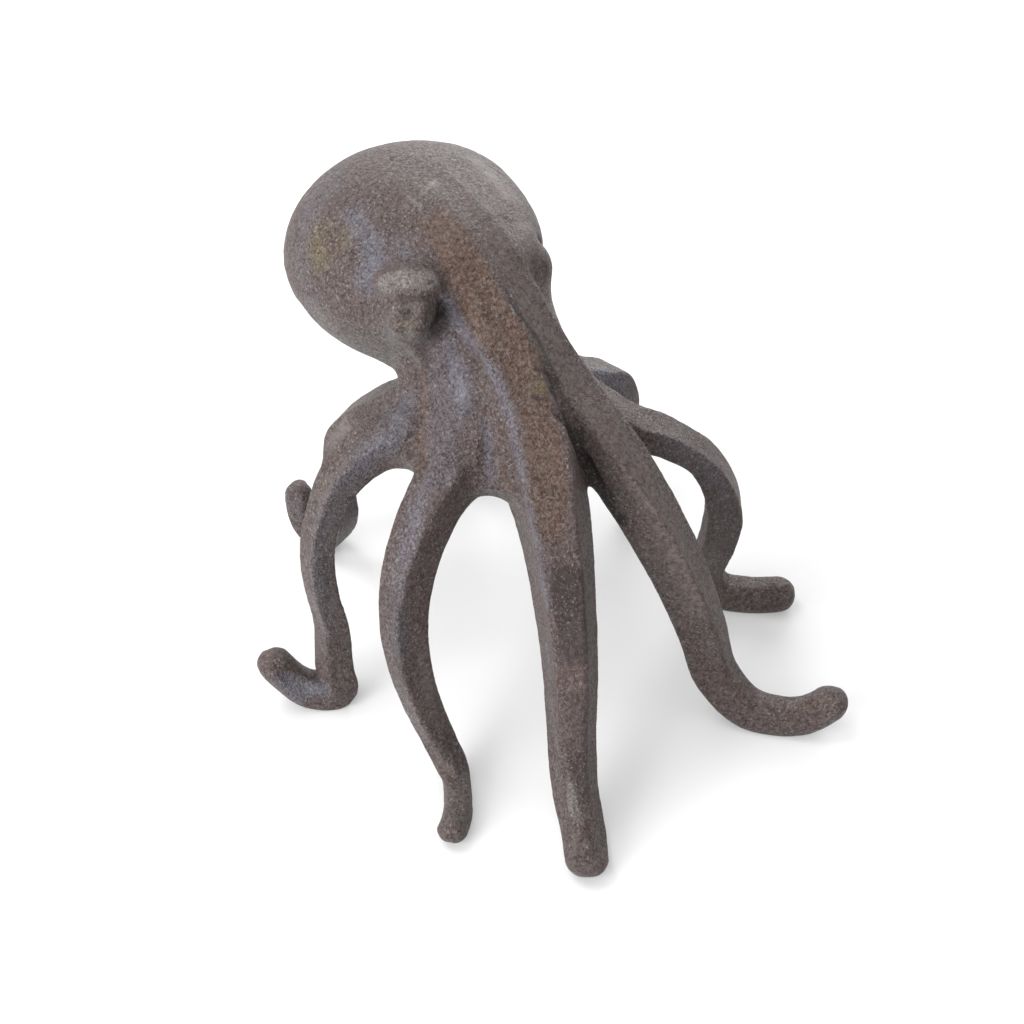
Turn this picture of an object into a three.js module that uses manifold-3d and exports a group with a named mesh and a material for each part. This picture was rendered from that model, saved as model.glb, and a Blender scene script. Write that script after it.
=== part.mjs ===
// A cast iron octopus ornament that stands on its eight arms.
// Two hollow half castings meet on the animal's middle plane, and two slotted screws that enter
// from its right side draw them together. Lengths are millimetres and +Z is up. The animal
// faces -Y, and left (-X) and right (+X) are as seen from in front of it.
import * as THREE from "three";
import { mergeVertices } from "three/addons/utils/BufferGeometryUtils.js";
import Module from "manifold-3d";

const wasm = await Module();
wasm.setup();

// The whole figure
const HEIGHT = 143; // from the ground to the top of the mantle
const UNIT = HEIGHT / 100; // the shapes of head, arms and webs are drawn in hundredths of the height

// Castings
const SEAM_GAP = 0.3; // between the faces of the two castings
const WALL = 5; // round the hollow of the head
const SOLE_GRIND = 1; // ground off under each foot so that the arms stand flat

// Head: sections across the middle plane, from the open rim between the arms up and back to the
// widest part of the mantle. Each has its centre, how far its plane leans back (degrees), and half
// sizes, in units.
const HEAD = [
  { y: 1.4, z: 55.9, lean: 0, halfWidth: 17.5, halfDepth: 15.4 },
  { y: 3.1, z: 60.1, lean: 12, halfWidth: 16.8, halfDepth: 14.3 },
  { y: 6.3, z: 63.9, lean: 28, halfWidth: 16.1, halfDepth: 14 },
  { y: 12.2, z: 69.2, lean: 45, halfWidth: 15.2, halfDepth: 14.4 },
  { y: 20.6, z: 73.7, lean: 53, halfWidth: 18.2, halfDepth: 16.5 },
  { y: 28.4, z: 78.1, lean: 61, halfWidth: 23.6, halfDepth: 19 },
  { y: 35.4, z: 80.6, lean: 68, halfWidth: 26.1, halfDepth: 18.3 },
  { y: 41.4, z: 82.6, lean: 75, halfWidth: 26.5, halfDepth: 17.3 },
];
const MANTLE_END = 21.1; // length of the rounded end behind the widest section
const END_FULLNESS = 1.87; // 2 rounds the end as an ellipse, more makes it fuller
const HEAD_SIDES = 36;
const HEAD_STEPS = 2; // between one section above and the next
const END_STEPS = 8;
const END_FLAT = 0.35; // share of a step that the last ring of a rounded end stays short of its tip

// Eyes: at each side of the forehead a mound with a socket, a ball that stands out of the socket,
// and a brow over it
const EYE_PLACES = { left: [-14.7, 18.2, 84.5], right: [10.9, 18.9, 82.2] }; // units
const EYE_LOOK = { left: [-0.52, -0.64, 0.56], right: [0.66, -0.6, 0.45] };
const EYE_MOUND = 9.2; // radius
const EYE_BALL = 4.4; // radius
const EYE_SOCKET = 5; // radius
const EYE_OUT = 6.4; // from the middle of the mound to the middle of the ball
const BROW = [7.2, 4.2, 4.4]; // half sizes: along the brow, up, and out of the head
const BROW_OUT = 3.6; // from the middle of the mound
const BROW_RISE = 4.6;
const EYE_SIDES = 16;

// Arms: the middle line from high on the head to the tip of the toe, and at even steps along it
// the compass turn of the arm's outer face (degrees from the front towards the right), its widths
// and its depths. The outer face is narrower than the inner one by the taper. Lengths are in
// units. The two front arms start as one band on the forehead, so they reach across the seam there
// and are cut on it.
const ARMS = {
  front_left: {
    half: "left",
    taper: 0.6,
    turn: [-6, -20, -36, -36, -36],
    width: [11.9, 12.6, 17.4, 12.8, 9.9, 8.4],
    depth: [3.5, 7.7, 13.8, 11.2, 9.2, 8.4],
    line: [
      [-2.9, 39.1, 96.8],
      [-2.9, 29.3, 96],
      [-2.9, 15.4, 89.1],
      [-3.2, 4.9, 79.6],
      [-4.5, -2.8, 70.6],
      [-6, -10.2, 64],
      [-8.7, -16.8, 56.9],
      [-10.8, -22.5, 47.8],
      [-13.4, -28.1, 37.4],
      [-16.6, -33.8, 26.2],
      [-20.3, -38.9, 16.8],
      [-23.8, -44.5, 9.1],
      [-26.9, -51.2, 3.8],
      [-29.9, -55.5, 4.2],
      [-31.3, -57.7, 7.2],
    ],
  },
  front_right: {
    half: "right",
    taper: 0.84,
    turn: [4, 16, 28, 36, 40],
    width: [10.5, 11.5, 11.3, 9.2, 7.7, 7.5],
    depth: [3.5, 7.7, 9.7, 9.4, 8.1, 7.4],
    line: [
      [2.7, 39.1, 96.8],
      [2.7, 29.3, 96],
      [2.7, 15.4, 89.1],
      [3, 5, 79.6],
      [5, -3.5, 69.9],
      [6.6, -11, 63.3],
      [8.8, -16.9, 57.1],
      [11.3, -25.6, 46.1],
      [14, -30.9, 34.9],
      [16.3, -35.8, 22.4],
      [17.7, -39.6, 11.2],
      [20.9, -46.1, 4.3],
      [24.9, -51.4, 3.3],
      [28.8, -55.3, 4.2],
      [32.6, -58.3, 8.1],
      [33.8, -59.3, 11.1],
    ],
  },
  mid_left: {
    half: "left",
    taper: 0.84,
    turn: [-62, -75, -88, -80, -50],
    width: [9.1, 11.8, 8.5, 6.6, 5.5, 6.2],
    depth: [5.6, 9, 8.3, 6.9, 5.5, 6.1],
    line: [
      [-10.1, 14, 80.3],
      [-11.5, 8, 72.3],
      [-14, 3.1, 66.4],
      [-20.3, -0.9, 61.7],
      [-26.8, -3.3, 58.9],
      [-32.6, -5.6, 53.8],
      [-37.1, -8, 47.4],
      [-40, -10.5, 39.1],
      [-40.5, -12.8, 29.4],
      [-39.3, -14.5, 19.7],
      [-37.5, -16.9, 10.5],
      [-37.7, -22.9, 3.8],
      [-41.4, -29.1, 3.1],
      [-46, -33.5, 4.2],
      [-47.2, -34.7, 6.6],
    ],
  },
  mid_right: {
    half: "right",
    taper: 0.84,
    turn: [50, 52, 52, 50, 50],
    width: [8.4, 10.6, 8.6, 8.9, 7.3, 8.2],
    depth: [5.6, 6, 4.6, 7.6, 6.4, 7.6],
    line: [
      [7.7, 12.6, 74.1],
      [9.1, 4.9, 68.1],
      [12.2, -2.1, 63.2],
      [17, -8.4, 59.2],
      [24.8, -13, 54.3],
      [31.5, -16.4, 47.5],
      [35.1, -18.5, 39.5],
      [36.9, -19, 31.1],
      [36.7, -18, 21.7],
      [36.7, -15.9, 11.9],
      [39.7, -16.8, 4.9],
      [43.6, -20.6, 3.7],
      [48.8, -25.5, 4.4],
      [51.8, -28.3, 6],
    ],
  },
  side_left: {
    half: "left",
    taper: 0.84,
    turn: [-95, -98, -94, -94, -100],
    width: [8.4, 10.5, 6.6, 6.6, 7.6, 7.5],
    depth: [6.3, 7.7, 5, 5, 6.5, 7.4],
    line: [
      [-11.5, 21, 73.4],
      [-14.7, 16.8, 68.1],
      [-18.2, 13.3, 64.6],
      [-22.8, 12.3, 63.3],
      [-29.1, 14.5, 60.7],
      [-35.1, 15.7, 56.2],
      [-39.4, 16, 49.3],
      [-42.1, 15.9, 40.5],
      [-42.8, 14.8, 30.7],
      [-41.8, 13.7, 20.3],
      [-42.5, 12.8, 8.7],
      [-43.2, 11.2, 3.5],
      [-48.2, 15.2, 3.8],
      [-52.2, 18.5, 9.4],
      [-54.1, 19.4, 14.1],
    ],
  },
  side_right: {
    half: "right",
    taper: 0.84,
    turn: [95, 101, 108, 108, 108],
    width: [8.4, 11.2, 9.2, 8.2, 7.7, 6.3],
    depth: [5.6, 7.7, 7.3, 6.6, 6.3, 5.6],
    line: [
      [7.7, 18.2, 71.3],
      [10.8, 14, 65.7],
      [15.4, 10.5, 60.4],
      [21.1, 8.4, 57.6],
      [26.3, 8.1, 54.7],
      [28.9, 8.2, 49],
      [30.5, 9.2, 41.9],
      [32.1, 10, 32.1],
      [34.8, 11.2, 22.4],
      [38.4, 12.9, 12.6],
      [43, 15.4, 4.9],
      [46.5, 16.8, 3.5],
      [49.6, 17.5, 6.3],
    ],
  },
  rear_left: {
    half: "left",
    taper: 0.84,
    turn: [-150, -156, -162, -162, -162],
    width: [8.4, 10.1, 8.9, 7.6, 7.5, 6.1],
    depth: [5.6, 8.4, 7.5, 6.3, 6.6, 5.6],
    line: [
      [-6.3, 18.2, 69.9],
      [-9.1, 19.9, 66.4],
      [-11.5, 22.4, 62.2],
      [-13.3, 26.5, 57],
      [-15.9, 32.3, 51.2],
      [-18.4, 38.3, 43.4],
      [-18.7, 41.3, 33.4],
      [-20.2, 43.3, 24.5],
      [-19.5, 44.1, 15.7],
      [-19, 48.1, 7.7],
      [-18.7, 53.2, 3.3],
      [-19.7, 56.8, 4.8],
      [-20.5, 58.4, 10.5],
      [-20.5, 58.1, 15.8],
    ],
  },
};
ARMS.rear_right = mirrored(ARMS.rear_left);
const ARM_SIDES = 12;
const ARM_STEP = 6; // along the middle line, from one section to the next
const ARM_ROUNDING = [0.8, 0.4, 0.25, 0.25, 0.4, 0.9]; // of its long edges, as shares of its half size
const TOE_STEPS = 3; // rings over the rounded end of a toe

// Webs between neighbouring arms: from one share of an arm's length to another, for both arms
const WEBS = [
  { arms: ["front_left", "mid_left"], from: [0.33, 0.1], to: [0.486, 0.256] },
  { arms: ["mid_left", "side_left"], from: [0.1, 0.05], to: [0.27, 0.22] },
  { arms: ["side_left", "rear_left"], from: [0.05, 0.02], to: [0.2, 0.2] },
  { arms: ["rear_left", "rear_right"], from: [0.02, 0.02], to: [0.14, 0.14] },
  { arms: ["rear_right", "side_right"], from: [0.02, 0.05], to: [0.2, 0.23] },
  { arms: ["side_right", "mid_right"], from: [0.05, 0.06], to: [0.22, 0.25] },
  { arms: ["mid_right", "front_right"], from: [0.06, 0.31], to: [0.24, 0.43] },
];
const WEB = [1.4, 5.2, 5.2, 4.9, 4.2]; // thickness, from the head to the free edge, in units
const WEB_ROUNDING = 0.9;
const WEB_SIDES = 8;
const WEB_STEPS = 5;

// Screws: slotted cheese heads sunk in the right casting, tapped into bosses of the left one.
// Each lies across the head at the middle of the numbered section.
const SCREWS = { mantle_screw: 6.2, neck_screw: 3.6 };
const SCREW_GRIP = 12; // of its length that lies in the left casting
const SCREW_SINK = 4.4; // from the skin of the head down to the seat
const SHANK = 2; // radius
const HEAD_RADIUS = 4;
const HEAD_HEIGHT = 3;
const SLOT_WIDTH = 1.2;
const SLOT_DEPTH = 1.4;
const SLOT_TURN = 36; // degrees
const FIT = 0.3; // between a screw or peg and the metal round it
const BOSS = 5.5; // radius
const BORE_SPARE = 2; // depth of the tapped hole beyond the screw's end
const ROUND_SIDES = 24;

// Pegs in the wall of the left casting that find sockets in the right one, each at a numbered
// section, on the upper side of the head (1) or the lower side (-1)
const PEGS = [
  { section: 6, side: 1 },
  { section: 3, side: 1 },
  { section: 4.5, side: -1 },
];
const PEG = 1.3; // radius
const PEG_LENGTH = 2.5;

const SPACE = 3 * HEIGHT; // the side of a block that is larger than half the figure

const iron = new THREE.MeshStandardMaterial({ color: 0x5b524b, roughness: 0.55, metalness: 0.7 });
const steel = new THREE.MeshStandardMaterial({ color: 0x77726c, roughness: 0.45, metalness: 0.9 });

function mirrored(arm) {
  return {
    ...arm,
    half: "right",
    turn: arm.turn.map((angle) => -angle),
    line: arm.line.map(([x, y, z]) => [-x, y, z]),
  };
}

function solidOf(geometry) {
  const bare = geometry.index ? geometry.toNonIndexed() : geometry.clone();
  bare.deleteAttribute("normal");
  bare.deleteAttribute("uv");
  const merged = mergeVertices(bare, 1e-4);
  return new wasm.Manifold(
    new wasm.Mesh({
      numProp: 3,
      vertProperties: merged.attributes.position.array,
      triVerts: new Uint32Array(merged.index.array),
    }),
  );
}

function meshOf(name, solid, material) {
  const { vertProperties, triVerts } = solid.getMesh();
  const geometry = new THREE.BufferGeometry();
  geometry.setAttribute("position", new THREE.BufferAttribute(vertProperties, 3));
  geometry.setIndex(new THREE.BufferAttribute(triVerts, 1));
  geometry.computeVertexNormals();
  const mesh = new THREE.Mesh(geometry, material);
  mesh.name = name;
  return mesh;
}

// A closed skin over rings of points, each ring running the same way round, with both ends filled.
function loft(rings) {
  const sides = rings[0].length;
  const points = rings.flat();
  const faces = [];
  for (let i = 0; i + 1 < rings.length; i++)
    for (let j = 0; j < sides; j++) {
      const a = i * sides + j;
      const b = i * sides + ((j + 1) % sides);
      faces.push(a, b, b + sides, a, b + sides, a + sides);
    }
  const first = points.push(middleOf(rings[0])) - 1;
  const last = points.push(middleOf(rings.at(-1))) - 1;
  const top = (rings.length - 1) * sides;
  for (let j = 0; j < sides; j++) {
    const k = (j + 1) % sides;
    faces.push(first, k, j, last, top + j, top + k);
  }
  const geometry = new THREE.BufferGeometry().setFromPoints(points);
  geometry.setIndex(faces);
  return geometry;
}

function middleOf(points) {
  const sum = points.reduce((total, point) => total.add(point), new THREE.Vector3());
  return sum.divideScalar(points.length);
}

// An elliptical ring of points round a centre.
function ovalRing(centre, across, out, halfWidth, halfDepth, sides) {
  return Array.from({ length: sides }, (_, j) => {
    const angle = ((j + 0.5) / sides) * 2 * Math.PI;
    return centre
      .clone()
      .addScaledVector(across, halfWidth * Math.cos(angle))
      .addScaledVector(out, halfDepth * Math.sin(angle));
  });
}

// A ring of points with four rounded corners, narrower by the taper on its outer side.
function squareRing(centre, across, out, halfWidth, halfDepth, sides, rounding, taper = 1) {
  const radius = rounding * Math.min(halfWidth, halfDepth);
  return Array.from({ length: sides }, (_, j) => {
    const angle = ((j + 0.5) / sides) * 2 * Math.PI;
    const [x, y] = [Math.cos(angle), Math.sin(angle)];
    const reach = y > 0 ? halfWidth * taper : halfWidth;
    return centre
      .clone()
      .addScaledVector(across, Math.sign(x) * (reach - radius) + x * radius)
      .addScaledVector(out, Math.sign(y) * (halfDepth - radius) + y * radius);
  });
}

// The value at share t of a list of values that are evenly spaced.
function along(values, t) {
  const place = t * (values.length - 1);
  const i = Math.min(Math.floor(place), values.length - 2);
  return THREE.MathUtils.lerp(values[i], values[i + 1], place - i);
}

// The head's section number s, a whole number or one between, in millimetres and degrees.
function sectionAt(s) {
  const i = Math.min(Math.floor(s), HEAD.length - 2);
  const t = s - i;
  const smooth = (key) => {
    const [p, q, r, u] = [i - 1, i, i + 1, i + 2].map(
      (k) => HEAD[THREE.MathUtils.clamp(k, 0, HEAD.length - 1)][key],
    );
    const slopeQ = (r - p) / 2;
    const slopeR = (u - q) / 2;
    const bend = 3 * (r - q) - 2 * slopeQ - slopeR;
    const value = q + slopeQ * t + bend * t ** 2 + (slopeQ + slopeR - 2 * (r - q)) * t ** 3;
    return key === "lean" ? value : value * UNIT;
  };
  const keys = Object.keys(HEAD[0]);
  return Object.fromEntries(keys.map((key) => [key, smooth(key)]));
}

// The direction in a section's plane that points up and forward out of the head.
function upOf({ lean }) {
  const angle = THREE.MathUtils.degToRad(lean);
  return new THREE.Vector3(0, -Math.cos(angle), Math.sin(angle));
}

function headRing(section, inset, size = 1) {
  const { y, z, halfWidth, halfDepth } = section;
  const centre = new THREE.Vector3(0, y, z);
  const across = new THREE.Vector3(-1, 0, 0);
  const [a, b] = [(halfWidth - inset) * size, (halfDepth - inset) * size];
  return ovalRing(centre, across, upOf(section), a, b, HEAD_SIDES);
}

// The outside of the head, or the hollow in it where inset is the wall.
function headSolid(inset) {
  const rings = [];
  const steps = (HEAD.length - 1) * HEAD_STEPS;
  for (let i = 0; i <= steps; i++) rings.push(headRing(sectionAt(i / HEAD_STEPS), inset));
  const widest = sectionAt(HEAD.length - 1);
  const lean = THREE.MathUtils.degToRad(widest.lean);
  for (let i = 1; i <= END_STEPS; i++) {
    const angle = ((i / (END_STEPS + END_FLAT)) * Math.PI) / 2;
    const back = (MANTLE_END * UNIT - inset) * Math.sin(angle) ** (2 / END_FULLNESS);
    const y = widest.y + back * Math.sin(lean);
    const z = widest.z + back * Math.cos(lean);
    rings.push(headRing({ ...widest, y, z }, inset, Math.cos(angle) ** (2 / END_FULLNESS)));
  }
  return solidOf(loft(rings));
}

// A direction at right angles to another, in the plane of the two.
function squareTo(direction, tangent) {
  return direction.clone().addScaledVector(tangent, -direction.dot(tangent)).normalize();
}

function armCurve({ line }) {
  const points = line.map((place) => new THREE.Vector3(...place).multiplyScalar(UNIT));
  return new THREE.CatmullRomCurve3(points, false, "centripetal");
}

// One arm, swept from inside the head to its rounded toe, and set so low that grinding it off
// at the ground leaves a flat sole.
function armSolid(shape) {
  const curve = armCurve(shape);
  const toe = (shape.depth.at(-1) * UNIT) / 2 / curve.getLength();
  const steps = Math.round((curve.getLength() * (1 - toe)) / ARM_STEP);
  const places = Array.from({ length: steps + 1 }, (_, i) => [((1 - toe) * i) / steps, 1]);
  for (let i = 1; i <= TOE_STEPS; i++) {
    const angle = ((i / (TOE_STEPS + END_FLAT)) * Math.PI) / 2;
    places.push([1 - toe + toe * Math.sin(angle), Math.cos(angle)]);
  }
  const rings = places.map(([u, round]) => {
    const tangent = curve.getTangentAt(u);
    const heading = THREE.MathUtils.degToRad(along(shape.turn, u));
    const level = new THREE.Vector3(Math.cos(heading), Math.sin(heading), 0);
    const across = squareTo(level, tangent);
    const out = new THREE.Vector3().crossVectors(tangent, across);
    const halfWidth = (along(shape.width, u) / 2) * UNIT * round;
    const halfDepth = (along(shape.depth, u) / 2) * UNIT * round;
    const place = curve.getPointAt(u);
    const edge = along(ARM_ROUNDING, u);
    return squareRing(place, across, out, halfWidth, halfDepth, ARM_SIDES, edge, shape.taper);
  });
  const arm = solidOf(loft(rings));
  return arm.translate([0, 0, -SOLE_GRIND - arm.boundingBox().min[2]]);
}

// The web between two arms, from one middle line to the other.
function webSolid({ arms, from, to }) {
  const curves = arms.map((name) => armCurve(ARMS[name]));
  const rings = [];
  for (let i = 0; i <= WEB_STEPS; i++) {
    const shares = from.map((start, k) => THREE.MathUtils.lerp(start, to[k], i / WEB_STEPS));
    const [start, end] = curves.map((curve, k) => curve.getPointAt(shares[k]));
    const [one, other] = curves.map((curve, k) => curve.getTangentAt(shares[k]));
    const tangent = one.add(other).normalize();
    const across = squareTo(end.clone().sub(start), tangent);
    const out = new THREE.Vector3().crossVectors(tangent, across);
    const centre = start.clone().lerp(end, 0.5);
    const halfDepth = (along(WEB, i / WEB_STEPS) / 2) * UNIT;
    const halfWidth = start.distanceTo(end) / 2;
    rings.push(squareRing(centre, across, out, halfWidth, halfDepth, WEB_SIDES, WEB_ROUNDING));
  }
  return solidOf(loft(rings));
}

function ball(radius, place) {
  const geometry = new THREE.SphereGeometry(radius, EYE_SIDES, EYE_SIDES / 2);
  return solidOf(geometry.translate(...place));
}

// A round bar along X from one place to another.
function barX(radius, from, to, y, z) {
  const geometry = new THREE.CylinderGeometry(radius, radius, to - from, ROUND_SIDES);
  geometry.rotateZ(-Math.PI / 2).translate((from + to) / 2, y, z);
  return solidOf(geometry);
}

// The metal of a half with its eye.
function withEye(metal, half) {
  const mound = new THREE.Vector3(...EYE_PLACES[half]).multiplyScalar(UNIT);
  const look = new THREE.Vector3(...EYE_LOOK[half]).normalize();
  const level = new THREE.Vector3(0, 0, 1).cross(look).normalize();
  const rise = new THREE.Vector3().crossVectors(look, level);
  const middle = mound.clone().addScaledVector(look, EYE_OUT);
  const brow = new THREE.SphereGeometry(1, EYE_SIDES, EYE_SIDES / 2).scale(...BROW);
  brow.applyMatrix4(new THREE.Matrix4().makeBasis(level, rise, look));
  brow.translate(...mound.clone().addScaledVector(look, BROW_OUT).addScaledVector(rise, BROW_RISE));
  return metal
    .add(ball(EYE_MOUND, mound))
    .add(solidOf(brow))
    .subtract(ball(EYE_SOCKET, middle.clone().add(look)))
    .add(ball(EYE_BALL, middle));
}

function halfSpace(side) {
  const geometry = new THREE.BoxGeometry(SPACE, SPACE, SPACE);
  geometry.translate((side * (SPACE + SEAM_GAP)) / 2, 0, SPACE / 2);
  return solidOf(geometry);
}

// One casting before its holes: head, arms and eye on one side of the seam, hollowed and bossed.
function halfCasting(half, side) {
  const space = halfSpace(side);
  const skin = headSolid(0);
  let metal = skin;
  for (const arm of Object.values(ARMS)) if (arm.half === half) metal = metal.add(armSolid(arm));
  for (const web of WEBS)
    if (web.arms.some((name) => ARMS[name].half === half)) metal = metal.add(webSolid(web));
  metal = withEye(metal, half);
  let hollow = headSolid(WALL);
  for (const section of Object.values(SCREWS)) {
    const { y, z } = sectionAt(section);
    hollow = hollow.subtract(barX(BOSS, -SPACE / 2, SPACE / 2, y, z));
  }
  return metal.subtract(hollow).intersect(space);
}

function pegPlace({ section, side }) {
  const { y, z, lean, halfDepth } = sectionAt(section);
  const up = upOf({ lean }).multiplyScalar(side * (halfDepth - WALL / 2));
  return [y + up.y, z + up.z];
}

function leftCasting() {
  let metal = halfCasting("left", -1);
  for (const section of Object.values(SCREWS)) {
    const { y, z } = sectionAt(section);
    metal = metal.subtract(barX(SHANK + FIT, -SCREW_GRIP - BORE_SPARE, SEAM_GAP, y, z));
  }
  for (const peg of PEGS) metal = metal.add(barX(PEG, -PEG_LENGTH, PEG_LENGTH, ...pegPlace(peg)));
  return metal;
}

function rightCasting() {
  let metal = halfCasting("right", 1);
  for (const section of Object.values(SCREWS)) {
    const { y, z, halfWidth } = sectionAt(section);
    const seat = halfWidth - SCREW_SINK;
    metal = metal.subtract(barX(SHANK + FIT, -SEAM_GAP, seat + FIT, y, z));
    metal = metal.subtract(barX(HEAD_RADIUS + FIT, seat, SPACE / 2, y, z));
  }
  for (const peg of PEGS)
    metal = metal.subtract(barX(PEG + FIT, -SEAM_GAP, PEG_LENGTH + FIT, ...pegPlace(peg)));
  return metal;
}

function screwSolid(section) {
  const { y, z, halfWidth } = sectionAt(section);
  const under = halfWidth - SCREW_SINK + FIT;
  const slot = new THREE.BoxGeometry(2 * SLOT_DEPTH, SLOT_WIDTH, 2 * HEAD_RADIUS + FIT);
  slot.rotateX(THREE.MathUtils.degToRad(SLOT_TURN)).translate(under + HEAD_HEIGHT, y, z);
  return barX(HEAD_RADIUS, under, under + HEAD_HEIGHT, y, z)
    .add(barX(SHANK, -SCREW_GRIP, under + HEAD_HEIGHT / 2, y, z))
    .subtract(solidOf(slot));
}

const octopus = new THREE.Group();
octopus.add(meshOf("left_half_casting", leftCasting(), iron));
octopus.add(meshOf("right_half_casting", rightCasting(), iron));
for (const [name, section] of Object.entries(SCREWS))
  octopus.add(meshOf(name, screwSolid(section), steel));

// The origin is on the ground, under the middle of the figure.
const middle = new THREE.Box3().setFromObject(octopus).getCenter(new THREE.Vector3());
octopus.position.set(-middle.x, -middle.y, 0);

export default octopus;
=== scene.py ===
import math

import bpy
import numpy as np
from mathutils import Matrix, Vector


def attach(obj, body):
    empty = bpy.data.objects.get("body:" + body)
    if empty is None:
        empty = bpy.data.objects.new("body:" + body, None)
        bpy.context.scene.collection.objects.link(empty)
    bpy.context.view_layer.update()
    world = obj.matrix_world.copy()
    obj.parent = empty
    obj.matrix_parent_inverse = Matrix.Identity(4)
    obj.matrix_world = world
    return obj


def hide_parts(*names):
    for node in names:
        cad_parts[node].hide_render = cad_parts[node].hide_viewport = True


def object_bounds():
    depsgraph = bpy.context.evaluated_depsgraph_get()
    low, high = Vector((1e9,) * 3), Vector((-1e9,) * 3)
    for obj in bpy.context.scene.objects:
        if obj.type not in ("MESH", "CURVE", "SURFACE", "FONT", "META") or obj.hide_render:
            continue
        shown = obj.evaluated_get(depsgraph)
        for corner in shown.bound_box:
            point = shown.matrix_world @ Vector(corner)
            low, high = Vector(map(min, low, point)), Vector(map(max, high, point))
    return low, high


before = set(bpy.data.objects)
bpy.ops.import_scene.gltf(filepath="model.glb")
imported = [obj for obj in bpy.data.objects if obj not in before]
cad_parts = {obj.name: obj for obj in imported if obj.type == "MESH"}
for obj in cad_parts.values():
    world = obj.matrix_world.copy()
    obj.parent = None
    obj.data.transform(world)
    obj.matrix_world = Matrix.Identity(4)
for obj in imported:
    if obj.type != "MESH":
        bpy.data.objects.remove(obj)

import openvdb
from mathutils import Matrix, Vector

# The figure is worked out in millimetres in its own frame: the middle plane is x = 0, the ground
# z = 0, and the animal faces -y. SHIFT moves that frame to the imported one.
CAD_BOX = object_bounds()
HEIGHT = 143.0
UNIT = HEIGHT / 100  # the tables of shapes are in hundredths of the height
SHIFT = np.array([2.4354, 0.0282, 0.0])
BOX_LOW, BOX_HIGH = (np.array(corner) * 1000 - SHIFT for corner in CAD_BOX)
VOXEL = 0.45
BAND = 7.0  # how far from a surface its distances are known
GRID_ROOM = 4.0  # of the grid of distances, round the box of the solid model
SEAM = 0.03  # from the middle plane to the meeting face of each casting
WALL = 5.0
OPENING = 2.0  # how far the hollow goes on through the open rim
SOLE_GRIND = 1.0
CLEARANCE = 0.12  # of the skin inside the box of the solid model
EDGE_GAP = 0.02  # of its cast unevenness inside that box

# Camera: its compass turn and its height above the ground, its lens, and its place
AZIMUTH = math.radians(-38)
ELEVATION = math.radians(43)
LENS = 70
SENSOR = 36
CAMERA_PLACE = np.array([-268.2, -334.1, 452.9])
PICTURE = 1024  # pixels along each side of the picture

# Lines of sight: how many steps each takes, the least and most of a step, its share of the
# distance to the skin, and how near to the skin a line ends
SIGHT_STEPS = 300
SIGHT_STEP = (0.05, 1.5)
SIGHT_SHARE = 0.9
TOUCH = 0.02

# Head: sections from the open rim between the arms, up and back to the widest part of the mantle
HEAD = np.array([
    # y, z, lean, half width, half depth
    [1.4, 55.9, 0, 17.5, 15.4],
    [3.1, 60.1, 12, 16.8, 14.3],
    [6.3, 63.9, 28, 16.1, 14],
    [12.2, 69.2, 45, 15.2, 14.4],
    [20.6, 73.7, 53, 18.2, 16.5],
    [28.4, 78.1, 61, 23.6, 19],
    [35.4, 80.6, 68, 26.1, 18.3],
    [41.4, 82.6, 75, 26.5, 17.3],
], float)
MANTLE_END = 21.1
END_FULLNESS = 1.87

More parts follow.
